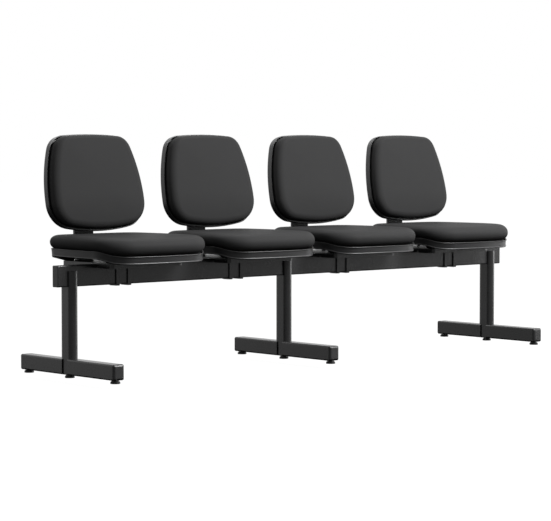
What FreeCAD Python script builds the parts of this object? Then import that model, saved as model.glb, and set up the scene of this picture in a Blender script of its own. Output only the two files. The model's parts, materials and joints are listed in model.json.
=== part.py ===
"""Four-seat beam seating on three T-shaped legs, in millimetres.

The beam runs along X, the seats face -Y and Z is up. The origin is on the floor, under the middle of
the middle leg's column, which stands left of the beam's middle.
"""

import FreeCAD, Part
import math
import os

from FreeCAD import Vector

# Seats along the beam
SEAT_COUNT = 4
SEAT_PITCH = 500.0
SLIDE_GAP = 0.2
SOFT_GAP = 0.3

# Beam
BEAM_HEIGHT = 70.0
BEAM_DEPTH = 30.0
BEAM_WALL = 2.0
BEAM_CORNER_RADIUS = 4.0
BEAM_BOTTOM = 296.0
BEAM_OVERHANG = 52.0
BEAM_CAP_HEAD = 5.0
BEAM_CAP_PLUG = 18.0
BEAM_CAP_EDGE_RADIUS = 2.5

# Legs
LEG_SPACING = 1000.0
BEAM_MIDDLE_AT = 60.0
COLUMN_WIDTH = 35.0
COLUMN_LENGTH = 63.0
COLUMN_WALL = 2.0
COLUMN_TAB_BELOW_BEAM_TOP = 19.0
COLUMN_TAB_LID = 3.0
COLUMN_BASE_PLATE = 4.0
GLIDE_BOSS_RADIUS = 10.0
GLIDE_BOSS_HEIGHT = 24.0

# Feet
FOOT_CLEARANCE = 11.0
FOOT_WIDTH = 44.0
FOOT_HEIGHT = 51.0
FOOT_WALL = 2.0
FOOT_CORNER_RADIUS = 5.0
FOOT_REACH_FRONT = 260.0
FOOT_REACH_REAR = 245.0
FOOT_CAP_HEAD = 11.0
FOOT_CAP_PLUG = 27.0
FOOT_CAP_EDGE_RADIUS = 8.0
GLIDE_INSET = 21.0

# Levelling glides
GLIDE_PAD_RADIUS = 16.0
GLIDE_PAD_HEIGHT = 7.0
GLIDE_PAD_CHAMFER = 1.5
GLIDE_NECK_RADIUS = 13.0
GLIDE_NECK_HEIGHT = 2.0
GLIDE_STUD_RADIUS = 4.0
GLIDE_STUD_LENGTH = 31.0
THREAD_CLEARANCE = 0.1
STUD_HOLE_CLEARANCE = 0.6

# Seat outline, seen from above
SEAT_FRONT = -196.0
SEAT_REAR = 228.0
SEAT_HALF_WIDTH = 216.0
SEAT_WIDEST_AT = -68.0
SEAT_FRONT_BOW_RADIUS = 900.0
SEAT_REAR_BOW_RADIUS = 1500.0
SEAT_SIDE_BOW_RADIUS = 1300.0
SEAT_FRONT_CORNER_RADIUS = 105.0
SEAT_REAR_CORNER_RADIUS = 80.0

# Seat shell, whose lip falls towards the front in two arcs
SEAT_SHELL_ABOVE_PLATE = 17.0
LIP_DROP = 17.0
LIP_DROP_START = -84.0
LIP_DROP_LENGTH = 106.0
SEAT_SHELL_BAND = 24.0
SEAT_SHELL_WALL = 3.0
SEAT_SHELL_DRAFT = 5.0
SEAT_BOARD_THICKNESS = 12.0
PILLAR_FOOT = 20.0
PILLAR_ACROSS = 134.0
PILLAR_FRONT_AT = -70.0
PILLAR_REAR_AT = 154.0
PILLAR_FLARE = 10.0
REAR_PILLAR_FLARE_OUT = 60.0
REAR_PILLAR_FLARE_BACK = 40.0

# Seat cushion, whose height is that of its crown above the shell's lip
CUSHION_HEIGHT = 48.0
CUSHION_BULGE = 5.0
CUSHION_DRAW_IN = 7.5
CUSHION_SIDE_RISE = 22.0
CUSHION_CROWN_RUN = 56.0
CUSHION_WATERFALL = 14.0

# How finely and how fully both cushions round over
PILLOW_SIDE_STEPS = 4
PILLOW_TOP_STEPS = 7
PILLOW_FULLNESS = 0.72

# Seat support
PLATE_THICKNESS = 4.0
PLATE_HALF_WIDTH = 150.0
PLATE_FRONT = -94.0
PLATE_REAR = 174.0
PLATE_CORNER_RADIUS = 12.0
PLATE_RIM_THICKNESS = 3.0
PLATE_RIM_DEPTH = 13.0
PLATE_RIM_CLEARANCE = 3.0
WELD_NUT_RADIUS = 6.0
WELD_NUT_HEIGHT = 5.0

# Clamp straps round the beam
STRAP_SPACING = 48.0
STRAP_PAIR_OFFSETS = (-41.0, -49.0, -38.0, 24.0)
STRAP_WIDTH = 14.0
STRAP_THICKNESS = 4.0
STRAP_FLANGE = 18.0
STRAP_CORNER_RADIUS = 3.0

# Screws
SCREW_RADIUS = 3.0
SCREW_HEAD_RADIUS = 5.5
SCREW_HEAD_HEIGHT = 4.0
SCREW_HOLE_CLEARANCE = 0.25
SHORT_SCREW_LENGTH = 16.0
SEAT_SCREW_LENGTH = 32.0
LEG_SCREW_RADIUS = 4.0
LEG_SCREW_HEAD_RADIUS = 7.0
LEG_SCREW_HEAD_HEIGHT = 5.0
LEG_SCREW_LENGTH = 22.0
LEG_SCREW_SPACING = 24.0

# Bar that carries the backrest
BAR_WIDTH = 80.0
BAR_THICKNESS = 8.0
BAR_BEND_RADIUS = 24.0
BAR_START = 48.0
BAR_UPRIGHT_AT = 255.0
BAR_RISE_BEHIND_BACK = 186.0
BAR_SCREW_FIRST = 68.0
BAR_SCREW_SPACING = 56.0
BACK_SCREW_FIRST = 100.0
BACK_SCREW_SPACING = 35.0
BACK_SCREW_COUNT = 3

# Backrest, whose outline lies in its own plane
BACK_ABOVE_LIP = 54.0
BACK_REAR_FACE_AT = 172.0
BACK_RECLINE = 12.0
BACK_HEIGHT = 330.0
BACK_HALF_WIDTH = 196.5
BACK_WIDEST_AT = 100.0
BACK_SIDE_BOW_RADIUS = 540.0
BACK_TOP_BOW_RADIUS = 1500.0
BACK_BOTTOM_BOW_RADIUS = 760.0
BACK_TOP_CORNER_RADIUS = 66.0
BACK_BOTTOM_CORNER_RADIUS = 84.0
BACK_BOARD_THICKNESS = 10.0
BACK_BOARD_INSET = 11.0
BACK_CUSHION_THICKNESS = 40.0
BACK_SHELL_FRONT = -10.0
BACK_SHELL_REAR = 15.5
BACK_SHELL_WALL = 3.0
BACK_SHELL_EDGE_RADIUS = 9.0
SHELL_SCREW_ACROSS = 90.0
SHELL_SCREW_RISES = (62.0, 252.0)
SHELL_SCREW_SEAT = 6.5
SHELL_SCREW_BOSS_RADIUS = 9.0
SHELL_SCREW_WELL_RADIUS = 6.5
HOUSING_HALF_WIDTH = 52.0
HOUSING_BOTTOM = 66.0
HOUSING_HEIGHT = 136.0
HOUSING_EDGE_RADIUS = 10.0
HOUSING_RIB = 18.0
BACK_BULGE = -6.0
BACK_DRAW_IN = 11.0
BACK_SIDE_RISE = 16.0
BACK_CROWN_RUN = 38.0

# Worked out from the sizes above
BEAM_TOP = BEAM_BOTTOM + BEAM_HEIGHT
COLUMN_TOP = BEAM_TOP - COLUMN_TAB_BELOW_BEAM_TOP
BEAM_LEFT = BEAM_MIDDLE_AT - LEG_SPACING - BEAM_OVERHANG
BEAM_RIGHT = BEAM_MIDDLE_AT + LEG_SPACING + BEAM_OVERHANG
PLATE_TOP = BEAM_TOP + PLATE_THICKNESS
LIP_HEIGHT = PLATE_TOP + SEAT_SHELL_ABOVE_PLATE + SEAT_SHELL_BAND
CUSHION_CROWN = LIP_HEIGHT + CUSHION_HEIGHT
BACK_BOTTOM = LIP_HEIGHT + BACK_ABOVE_LIP
SCREW_HOLE_RADIUS = SCREW_RADIUS + SCREW_HOLE_CLEARANCE
LEG_SCREW_HOLE_RADIUS = LEG_SCREW_RADIUS + SCREW_HOLE_CLEARANCE
STUD_HOLE_RADIUS = GLIDE_STUD_RADIUS + STUD_HOLE_CLEARANCE
BAR_FRONT = BAR_UPRIGHT_AT - BAR_THICKNESS / 2
BAR_REAR = BAR_UPRIGHT_AT + BAR_THICKNESS / 2
STRAP_INNER = BEAM_DEPTH / 2 + SLIDE_GAP
STRAP_OUTER = STRAP_INNER + STRAP_THICKNESS
STRAP_SCREW_AT = STRAP_OUTER + STRAP_FLANGE / 2

LEVEL_TOLERANCE = 0.01
UP = Vector(0, 0, 1)
RIGHTWARD = Vector(1, 0, 0)
REARWARD = Vector(0, 1, 0)
LEGS = {"left": BEAM_MIDDLE_AT - LEG_SPACING, "middle": 0.0, "right": BEAM_MIDDLE_AT + LEG_SPACING}


def seat_centres():
    """Return the X of each seat's middle, from the left."""
    middle = (SEAT_COUNT - 1) / 2
    return [BEAM_MIDDLE_AT + (index - middle) * SEAT_PITCH for index in range(SEAT_COUNT)]


def save(shape, name):
    """Write one named piece."""
    shape.exportStep(os.path.join("parts", name + ".step"))


def moved(shape, x=0.0, y=0.0, z=0.0):
    """Return a copy of the shape, moved."""
    copy = shape.copy()
    copy.translate(Vector(x, y, z))
    return copy


def box(x_low, x_high, y_low, y_high, z_low, z_high):
    """Return a block between the given limits."""
    return Part.makeBox(x_high - x_low, y_high - y_low, z_high - z_low, Vector(x_low, y_low, z_low))


def edges_along(shape, axis):
    """Return the shape's straight edges that run along the axis."""
    found = []
    for edge in shape.Edges:
        is_straight = edge.Curve.TypeId == "Part::GeomLine"
        if is_straight and abs(edge.tangentAt(edge.FirstParameter).dot(axis)) > 1 - LEVEL_TOLERANCE:
            found.append(edge)
    return found


def edges_in_plane(shape, normal, level):
    """Return the edges that lie wholly in the plane at this level along the normal."""
    found = []
    for edge in shape.Edges:
        heights = [vertex.Point.dot(normal) for vertex in edge.Vertexes]
        middle = edge.valueAt((edge.FirstParameter + edge.LastParameter) / 2)
        heights.append(middle.dot(normal))
        if all(abs(height - level) < LEVEL_TOLERANCE for height in heights):
            found.append(edge)
    return found


def rounded_bar(x_low, x_high, y_low, y_high, z_low, z_high, along, radius):
    """Return a block whose edges along one axis are rounded."""
    block = box(x_low, x_high, y_low, y_high, z_low, z_high)
    return block.makeFillet(radius, edges_along(block, along))


def tangent_outline(front, rear, half_width, widest_at, bows, corners, inset=0.0, shift=0.0):
    """Return a closed wire in the XY plane made of eight arcs that meet in tangents.

    bows holds the radii of the front, side and rear arcs, and corners those of the front and rear
    corners. An inset shortens every radius about the same centres, so the outlines stay parallel.
    """
    front_bow, side_bow, rear_bow = bows
    front_corner, rear_corner = corners
    front_centre = (0.0, front + front_bow)
    rear_centre = (0.0, rear - rear_bow)
    side_centre = (half_width - side_bow, widest_at)
    front_corner_centre = circle_meeting(front_centre, front_bow - front_corner,
                                         side_centre, side_bow - front_corner, -1)
    rear_corner_centre = circle_meeting(rear_centre, rear_bow - rear_corner,
                                        side_centre, side_bow - rear_corner, 1)

    def touch(big_centre, big_radius, small_centre):
        """Return where the big arc, inset, meets the corner arc."""
        dx = small_centre[0] - big_centre[0]
        dy = small_centre[1] - big_centre[1]
        length = math.hypot(dx, dy)
        reach = big_radius - inset
        return (big_centre[0] + dx / length * reach, big_centre[1] + dy / length * reach)

    front_touch = touch(front_centre, front_bow, front_corner_centre)
    side_front_touch = touch(side_centre, side_bow, front_corner_centre)
    side_rear_touch = touch(side_centre, side_bow, rear_corner_centre)
    rear_touch = touch(rear_centre, rear_bow, rear_corner_centre)
    front_corner_middle = arc_middle(front_corner_centre, front_corner - inset, front_touch, side_front_touch)
    rear_corner_middle = arc_middle(rear_corner_centre, rear_corner - inset, side_rear_touch, rear_touch)
    side_middle = arc_middle(side_centre, side_bow - inset, side_front_touch, side_rear_touch)
    right_side = [front_touch, front_corner_middle, side_front_touch, side_middle,
                  side_rear_touch, rear_corner_middle, rear_touch]
    left_side = [(-x, y) for x, y in reversed(right_side)]
    loop = right_side + [(0.0, rear - inset)] + left_side + [(0.0, front + inset)]
    points = [Vector(x, y + shift, 0) for x, y in loop]
    edges = []
    for start in range(0, len(points), 2):
        finish = points[(start + 2) % len(points)]
        edges.append(Part.Arc(points[start], points[start + 1], finish).toShape())
    return Part.Wire(edges)


def circle_meeting(first_centre, first_radius, second_centre, second_radius, side):
    """Return the point at these distances from two centres, on the chosen side in Y and right in X."""
    dx = second_centre[0] - first_centre[0]
    dy = second_centre[1] - first_centre[1]
    apart = math.hypot(dx, dy)
    along = (first_radius ** 2 - second_radius ** 2 + apart ** 2) / (2 * apart)
    across = math.sqrt(first_radius ** 2 - along ** 2)
    foot = (first_centre[0] + along * dx / apart, first_centre[1] + along * dy / apart)
    candidates = [
        (foot[0] - across * dy / apart, foot[1] + across * dx / apart),
        (foot[0] + across * dy / apart, foot[1] - across * dx / apart),
    ]
    return max(candidates, key=lambda point: point[0] + side * point[1])


def arc_middle(centre, radius, start, finish):
    """Return the middle point of the short arc between two points."""
    half_x = (start[0] + finish[0]) / 2 - centre[0]
    half_y = (start[1] + finish[1]) / 2 - centre[1]
    length = math.hypot(half_x, half_y)
    return (centre[0] + half_x / length * radius, centre[1] + half_y / length * radius)


def seat_outline(inset=0.0, shift=0.0, level=0.0):
    """Return the seat's outline at a height, drawn in by the inset."""
    wire = tangent_outline(
        SEAT_FRONT, SEAT_REAR, SEAT_HALF_WIDTH, SEAT_WIDEST_AT,
        (SEAT_FRONT_BOW_RADIUS, SEAT_SIDE_BOW_RADIUS, SEAT_REAR_BOW_RADIUS),
        (SEAT_FRONT_CORNER_RADIUS, SEAT_REAR_CORNER_RADIUS), inset, shift)
    wire.translate(Vector(0, 0, level))
    return wire


def back_outline(inset=0.0, depth=0.0):
    """Return the backrest's outline, upright in the XZ plane at a depth along Y."""
    wire = tangent_outline(
        0.0, BACK_HEIGHT, BACK_HALF_WIDTH, BACK_WIDEST_AT,
        (BACK_BOTTOM_BOW_RADIUS, BACK_SIDE_BOW_RADIUS, BACK_TOP_BOW_RADIUS),
        (BACK_BOTTOM_CORNER_RADIUS, BACK_TOP_CORNER_RADIUS), inset)
    wire.rotate(Vector(0, 0, 0), RIGHTWARD, 90)
    wire.translate(Vector(0, depth, 0))
    return wire


def back_slab(inset, front, rear):
    """Return a plain slab of the backrest's outline between two depths."""
    return Part.Face(back_outline(inset, front)).extrude(Vector(0, rear - front, 0))


def placed_back(shape):
    """Lean a backrest piece back and stand it behind the seat."""
    copy = shape.copy()
    copy.rotate(Vector(0, 0, 0), RIGHTWARD, -BACK_RECLINE)
    copy.translate(Vector(0, BACK_REAR_FACE_AT, BACK_BOTTOM))
    return copy


def lip_edges(offset):
    """Return the lip's line in the YZ plane, from front to rear, moved by a height."""
    high = LIP_HEIGHT + offset
    low = high - LIP_DROP
    front_end = Vector(0, SEAT_FRONT - SEAT_PITCH, low)
    drop_end = Vector(0, LIP_DROP_START - LIP_DROP_LENGTH, low)
    drop_start = Vector(0, LIP_DROP_START, high)
    rear_end = Vector(0, SEAT_REAR + SEAT_PITCH, high)
    half_way = (drop_start + drop_end) * 0.5
    radius = (LIP_DROP_LENGTH ** 2 + LIP_DROP ** 2) / (4 * LIP_DROP)
    half_turn = math.asin(LIP_DROP_LENGTH / 2 / radius) / 2
    sag = radius * (1 - math.cos(half_turn))
    reach = radius * math.sin(half_turn)
    lower_arc = Part.Arc(drop_end, Vector(0, drop_end.y + reach, low + sag), half_way).toShape()
    upper_arc = Part.Arc(half_way, Vector(0, drop_start.y - reach, high - sag), drop_start).toShape()
    return [Part.makeLine(front_end, drop_end), lower_arc, upper_arc, Part.makeLine(drop_start, rear_end)]


def lip_slab(lower, upper):
    """Return the space between two offsets of the lip's line, wider than a seat."""
    bottom = lip_edges(lower)
    top = lip_edges(upper)
    rear = Part.makeLine(bottom[-1].Vertexes[-1].Point, top[-1].Vertexes[-1].Point)
    front = Part.makeLine(bottom[0].Vertexes[0].Point, top[0].Vertexes[0].Point)
    face = Part.Face(Part.Wire(Part.__sortEdges__(bottom + [rear] + top + [front])))
    face.translate(RIGHTWARD * -SEAT_PITCH)
    return face.extrude(RIGHTWARD * (2 * SEAT_PITCH))


def beam_tube():
    """Return the rectangular tube with the holes for the leg screws in its rear wall."""
    half = BEAM_DEPTH / 2
    inner = half - BEAM_WALL
    outer = rounded_bar(BEAM_LEFT, BEAM_RIGHT, -half, half, BEAM_BOTTOM, BEAM_TOP,
                        RIGHTWARD, BEAM_CORNER_RADIUS)
    bore = rounded_bar(BEAM_LEFT, BEAM_RIGHT, -inner, inner, BEAM_BOTTOM + BEAM_WALL, BEAM_TOP - BEAM_WALL,
                       RIGHTWARD, BEAM_CORNER_RADIUS - BEAM_WALL)
    tube = outer.cut(bore)
    holes = [Part.makeCylinder(LEG_SCREW_HOLE_RADIUS, half + BEAM_WALL, Vector(x, 0, z), REARWARD)
             for x, z in leg_screw_places()]
    return tube.cut(holes)


def beam_end_cap():
    """Return a left end's plastic cap: a rounded head and a plug that fills the tube's mouth."""
    half = BEAM_DEPTH / 2
    head = rounded_bar(-BEAM_CAP_HEAD, 0, -half, half, BEAM_BOTTOM, BEAM_TOP, RIGHTWARD, BEAM_CORNER_RADIUS)
    head = head.makeFillet(BEAM_CAP_EDGE_RADIUS, edges_in_plane(head, RIGHTWARD, -BEAM_CAP_HEAD))
    inner = half - BEAM_WALL - SLIDE_GAP
    plug = box(-SLIDE_GAP, BEAM_CAP_PLUG, -inner, inner,
               BEAM_BOTTOM + BEAM_WALL + SLIDE_GAP, BEAM_TOP - BEAM_WALL - SLIDE_GAP)
    plug = plug.makeFillet(BEAM_CORNER_RADIUS - BEAM_WALL, edges_along(plug, RIGHTWARD))
    return head.fuse(plug).removeSplitter()


def stadium(width, length, low, high):
    """Return an upright solid whose section has two straight sides and two half rounds."""
    radius = width / 2
    flat = length / 2 - radius
    middle = box(-radius, radius, -flat, flat, low, high)
    front = Part.makeCylinder(radius, high - low, Vector(0, -flat, low), UP)
    rear = Part.makeCylinder(radius, high - low, Vector(0, flat, low), UP)
    return middle.fuse([front, rear]).removeSplitter()


def leg_screw_heights():
    """Return the height of each screw in a leg."""
    centre = (BEAM_BOTTOM + COLUMN_TOP - COLUMN_TAB_LID) / 2
    return [centre - LEG_SCREW_SPACING / 2, centre + LEG_SCREW_SPACING / 2]


def leg_screw_places():
    """Return the X and Z of every leg screw."""
    return [(x, z) for x in LEGS.values() for z in leg_screw_heights()]


def leg_column():
    """Return the oblong column, notched at its top to hold the beam between two closed tabs."""
    outer = stadium(COLUMN_WIDTH, COLUMN_LENGTH, FOOT_CLEARANCE, COLUMN_TOP)
    bore = stadium(COLUMN_WIDTH - 2 * COLUMN_WALL, COLUMN_LENGTH - 2 * COLUMN_WALL,
                   FOOT_CLEARANCE + COLUMN_BASE_PLATE, COLUMN_TOP - COLUMN_TAB_LID)
    boss = Part.makeCylinder(GLIDE_BOSS_RADIUS, GLIDE_BOSS_HEIGHT, Vector(0, 0, FOOT_CLEARANCE), UP)
    thread = Part.makeCylinder(GLIDE_STUD_RADIUS + THREAD_CLEARANCE, GLIDE_BOSS_HEIGHT,
                               Vector(0, 0, FOOT_CLEARANCE), UP)
    notch_half = BEAM_DEPTH / 2 + SLIDE_GAP
    notch = box(-COLUMN_WIDTH, COLUMN_WIDTH, -notch_half, notch_half, BEAM_BOTTOM, BEAM_TOP)
    column = outer.cut(bore).fuse(boss).cut([thread, notch])
    holes = [Part.makeCylinder(LEG_SCREW_HOLE_RADIUS, COLUMN_LENGTH, Vector(0, 0, z), REARWARD)
             for z in leg_screw_heights()]
    return column.cut(holes)


def foot_bar(reach):
    """Return the front or rear bar of a foot, coped round the column; a negative reach points forward."""
    side = math.copysign(1, reach)
    half = FOOT_WIDTH / 2
    inner = half - FOOT_WALL
    top = FOOT_CLEARANCE + FOOT_HEIGHT
    start = side * (COLUMN_LENGTH - COLUMN_WIDTH) / 2
    finish = reach - side * FOOT_CAP_HEAD
    low, high = min(start, finish), max(start, finish)
    outer = rounded_bar(-half, half, low, high, FOOT_CLEARANCE, top, REARWARD, FOOT_CORNER_RADIUS)
    bore = box(-inner, inner, low, high, FOOT_CLEARANCE + FOOT_WALL, top - FOOT_WALL)
    cope = stadium(COLUMN_WIDTH + 2 * SLIDE_GAP, COLUMN_LENGTH + 2 * SLIDE_GAP, 0, top)
    hole = Part.makeCylinder(STUD_HOLE_RADIUS, FOOT_HEIGHT / 2, Vector(0, reach - side * GLIDE_INSET, 0), UP)
    return outer.cut([bore, cope, hole])


def foot_end_cap(reach):
    """Return the plastic cap of a foot bar, whose plug holds the glide's thread."""
    side = math.copysign(1, reach)
    half = FOOT_WIDTH / 2
    top = FOOT_CLEARANCE + FOOT_HEIGHT
    seat = reach - side * FOOT_CAP_HEAD
    head = rounded_bar(-half, half, min(reach, seat), max(reach, seat), FOOT_CLEARANCE, top,
                       REARWARD, FOOT_CORNER_RADIUS)
    head = head.makeFillet(FOOT_CAP_EDGE_RADIUS, edges_in_plane(head, REARWARD, reach))
    inner = half - FOOT_WALL - SLIDE_GAP
    plug_end = seat - side * FOOT_CAP_PLUG
    plug = box(-inner, inner, min(seat, plug_end), max(seat, plug_end),
               FOOT_CLEARANCE + FOOT_WALL + SLIDE_GAP, top - FOOT_WALL - SLIDE_GAP)
    thread = Part.makeCylinder(GLIDE_STUD_RADIUS + THREAD_CLEARANCE, top - FOOT_WALL,
                               Vector(0, reach - side * GLIDE_INSET, 0), UP)
    return head.fuse(plug).removeSplitter().cut(thread)


def glide():
    """Return one levelling foot, standing on the floor."""
    pad = Part.makeCylinder(GLIDE_PAD_RADIUS, GLIDE_PAD_HEIGHT)
    pad = pad.makeChamfer(GLIDE_PAD_CHAMFER, edges_in_plane(pad, UP, GLIDE_PAD_HEIGHT))
    neck = Part.makeCylinder(GLIDE_NECK_RADIUS, GLIDE_NECK_HEIGHT, Vector(0, 0, GLIDE_PAD_HEIGHT))
    stud = Part.makeCylinder(GLIDE_STUD_RADIUS, GLIDE_STUD_LENGTH,
                             Vector(0, 0, GLIDE_PAD_HEIGHT + GLIDE_NECK_HEIGHT))
    return pad.fuse([neck, stud]).removeSplitter()


def hexagon_screw(radius, length, head_radius, head_height):
    """Return a screw along +Z, its head below the origin."""
    corners = [Vector(head_radius * math.cos(math.radians(60 * turn)),
                      head_radius * math.sin(math.radians(60 * turn)), -head_height) for turn in range(7)]
    head = Part.Face(Part.makePolygon(corners)).extrude(Vector(0, 0, head_height))
    return head.fuse(Part.makeCylinder(radius, length)).removeSplitter()


def pointed_forward(screw):
    """Return a copy of the screw that points forward, its head behind the origin."""
    copy = screw.copy()
    copy.rotate(Vector(0, 0, 0), RIGHTWARD, 90)
    return copy


def leg_screws():
    """Return the screws that go through each leg's rear tab into the beam."""
    screw = hexagon_screw(LEG_SCREW_RADIUS, LEG_SCREW_LENGTH, LEG_SCREW_HEAD_RADIUS, LEG_SCREW_HEAD_HEIGHT)
    forward = pointed_forward(screw)
    return Part.makeCompound([moved(forward, x, COLUMN_LENGTH / 2, z) for x, z in leg_screw_places()])


def pillar_places():
    """Return the X and Y of the shell's pillars about the seat's middle."""
    return [(x, y) for x in (-PILLAR_ACROSS, PILLAR_ACROSS) for y in (PILLAR_FRONT_AT, PILLAR_REAR_AT)]


def strap_places(offset):
    """Return the X of each strap about the seat's middle, for the pair's own offset from it."""
    return [offset - STRAP_SPACING / 2, offset + STRAP_SPACING / 2]


def strap_screw_places(offset):
    """Return the X and Y of the strap screws about the seat's middle."""
    return [(x, side * STRAP_SCREW_AT) for x in strap_places(offset) for side in (-1, 1)]


def bar_screw_places():
    """Return the Y of the screws that hold the back bar under the support plate."""
    return [BAR_SCREW_FIRST, BAR_SCREW_FIRST + BAR_SCREW_SPACING]


def back_screw_heights():
    """Return the height of each screw that holds the backrest on its bar."""
    return [BACK_BOTTOM + BACK_SCREW_FIRST + index * BACK_SCREW_SPACING for index in range(BACK_SCREW_COUNT)]


def shell_screw_places():
    """Return how far across and up the backrest each screw of its shell lies."""
    return [(x, rise) for x in (-SHELL_SCREW_ACROSS, SHELL_SCREW_ACROSS) for rise in SHELL_SCREW_RISES]


def upright_hole(x, y, radius=SCREW_HOLE_RADIUS):
    """Return a tall pin that cuts a vertical hole."""
    return Part.makeCylinder(radius, CUSHION_CROWN, Vector(x, y, 0), UP)


def support_plate(strap_offset):
    """Return the steel plate on top of the beam, with its welded nuts and a rim bent down round it.

    The rim is notched for the beam, and at the rear for the bar that carries the backrest.
    """
    rim_bottom = BEAM_TOP - PLATE_RIM_DEPTH
    inner = PLATE_HALF_WIDTH - PLATE_RIM_THICKNESS
    plate = rounded_bar(-PLATE_HALF_WIDTH, PLATE_HALF_WIDTH, PLATE_FRONT, PLATE_REAR, rim_bottom, PLATE_TOP,
                        UP, PLATE_CORNER_RADIUS)
    hollow = rounded_bar(-inner, inner, PLATE_FRONT + PLATE_RIM_THICKNESS, PLATE_REAR - PLATE_RIM_THICKNESS,
                         rim_bottom, BEAM_TOP, UP, PLATE_CORNER_RADIUS - PLATE_RIM_THICKNESS)
    notch_half = BEAM_DEPTH / 2 + PLATE_RIM_CLEARANCE
    notch = box(-SEAT_PITCH, SEAT_PITCH, -notch_half, notch_half, rim_bottom, BEAM_TOP)
    bar_half = BAR_WIDTH / 2 + PLATE_RIM_CLEARANCE
    bar_notch = box(-bar_half, bar_half, BAR_START, BAR_UPRIGHT_AT, rim_bottom, BEAM_TOP)
    nut_places = strap_screw_places(strap_offset) + [(0, y) for y in bar_screw_places()]
    nuts = [Part.makeCylinder(WELD_NUT_RADIUS, WELD_NUT_HEIGHT, Vector(x, y, PLATE_TOP), UP)
            for x, y in nut_places]
    holes = [upright_hole(x, y) for x, y in nut_places + pillar_places()]
    return plate.cut([hollow, notch, bar_notch]).fuse(nuts).cut(holes)


def clamp_strap():
    """Return one strap, bent in a U under the beam, with a flange each side under the plate."""
    half = STRAP_WIDTH / 2
    bottom = BEAM_BOTTOM - SLIDE_GAP - STRAP_THICKNESS
    flange_end = STRAP_OUTER + STRAP_FLANGE
    outer = box(-half, half, -STRAP_OUTER, STRAP_OUTER, bottom, BEAM_TOP)
    outer = outer.makeFillet(STRAP_CORNER_RADIUS, edges_low_along_x(outer, bottom))
    flanges = box(-half, half, -flange_end, flange_end, BEAM_TOP - STRAP_THICKNESS, BEAM_TOP)
    inner = box(-half, half, -STRAP_INNER, STRAP_INNER, bottom + STRAP_THICKNESS, BEAM_TOP)
    holes = [upright_hole(0, side * STRAP_SCREW_AT) for side in (-1, 1)]
    return outer.fuse(flanges).removeSplitter().cut([inner] + holes)


def edges_low_along_x(shape, level):
    """Return the edges along X that lie at this height."""
    return [edge for edge in edges_along(shape, RIGHTWARD)
            if abs(edge.Vertexes[0].Z - level) < LEVEL_TOLERANCE]


def clamp_straps():
    """Return all the straps, two to a seat."""
    strap = clamp_strap()
    return Part.makeCompound([moved(strap, centre + x)
                              for centre, offset in zip(seat_centres(), STRAP_PAIR_OFFSETS)
                              for x in strap_places(offset)])


def short_screws():
    """Return the screws of the straps, of the back bars' two ends and of the backrests' shells."""
    screw = hexagon_screw(SCREW_RADIUS, SHORT_SCREW_LENGTH, SCREW_HEAD_RADIUS, SCREW_HEAD_HEIGHT)
    forward = pointed_forward(screw)
    screws = []
    for centre, offset in zip(seat_centres(), STRAP_PAIR_OFFSETS):
        for x, y in strap_screw_places(offset):
            screws.append(moved(screw, centre + x, y, BEAM_TOP - STRAP_THICKNESS))
        for y in bar_screw_places():
            screws.append(moved(screw, centre, y, BEAM_TOP - BAR_THICKNESS))
        for height in back_screw_heights():
            screws.append(moved(forward, centre, BAR_REAR, height))
        for x, rise in shell_screw_places():
            screws.append(moved(placed_back(moved(forward, x, SHELL_SCREW_SEAT, rise)), centre))
    return Part.makeCompound(screws)


def seat_screws():
    """Return the long screws that hold each seat's board and shell on its plate."""
    screw = hexagon_screw(SCREW_RADIUS, SEAT_SCREW_LENGTH, SCREW_HEAD_RADIUS, SCREW_HEAD_HEIGHT)
    return Part.makeCompound([moved(screw, centre + x, y, BEAM_TOP)
                              for centre in seat_centres() for x, y in pillar_places()])


def rectangle(x_low, x_high, y_low, y_high, level):
    """Return a level rectangular wire."""
    points = [Vector(x_low, y_low, level), Vector(x_high, y_low, level),
              Vector(x_high, y_high, level), Vector(x_low, y_high, level)]
    return Part.makePolygon(points + [points[0]])


def shell_pillar(x, y):
    """Return one pillar, which widens upwards, and most of all outwards at the rear."""
    half = PILLAR_FOOT / 2
    outward = REAR_PILLAR_FLARE_OUT if y > 0 else PILLAR_FLARE
    rearward = REAR_PILLAR_FLARE_BACK if y > 0 else PILLAR_FLARE
    foot = rectangle(x - half, x + half, y - half, y + half, PLATE_TOP)
    head_low = x - half - (outward if x < 0 else PILLAR_FLARE)
    head_high = x + half + (outward if x > 0 else PILLAR_FLARE)
    head = rectangle(head_low, head_high, y - half - PILLAR_FLARE, y + half + rearward,
                     LIP_HEIGHT - SEAT_SHELL_BAND + SEAT_SHELL_WALL)
    return Part.makeLoft([foot, head], True, True)


def seat_shell():
    """Return the plastic pan: a band along the lip, a floor and four pillars down to the plate."""
    foot_level = LIP_HEIGHT - LIP_DROP - SEAT_SHELL_BAND
    outer = Part.makeLoft([seat_outline(SEAT_SHELL_DRAFT, 0, PLATE_TOP - SEAT_SHELL_DRAFT),
                           seat_outline(0, 0, LIP_HEIGHT + SEAT_SHELL_WALL)], True, True)
    hollow = Part.makeLoft([seat_outline(SEAT_SHELL_DRAFT + SEAT_SHELL_WALL, 0, PLATE_TOP - SEAT_SHELL_DRAFT),
                            seat_outline(SEAT_SHELL_WALL, 0, LIP_HEIGHT + SEAT_SHELL_WALL)], True, True)
    band = outer.common(lip_slab(-SEAT_SHELL_BAND, 0))
    cavity = hollow.common(lip_slab(SEAT_SHELL_WALL - SEAT_SHELL_BAND, SEAT_SHELL_WALL))
    shell = band.cut(cavity)
    under_floor = lip_slab(-SEAT_SHELL_BAND - foot_level, SEAT_SHELL_WALL / 2 - SEAT_SHELL_BAND)
    for x, y in pillar_places():
        shell = shell.fuse(shell_pillar(x, y).common(outer).common(under_floor))
    holes = [upright_hole(x, y) for x, y in pillar_places()]
    return shell.removeSplitter().cut(holes)


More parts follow.
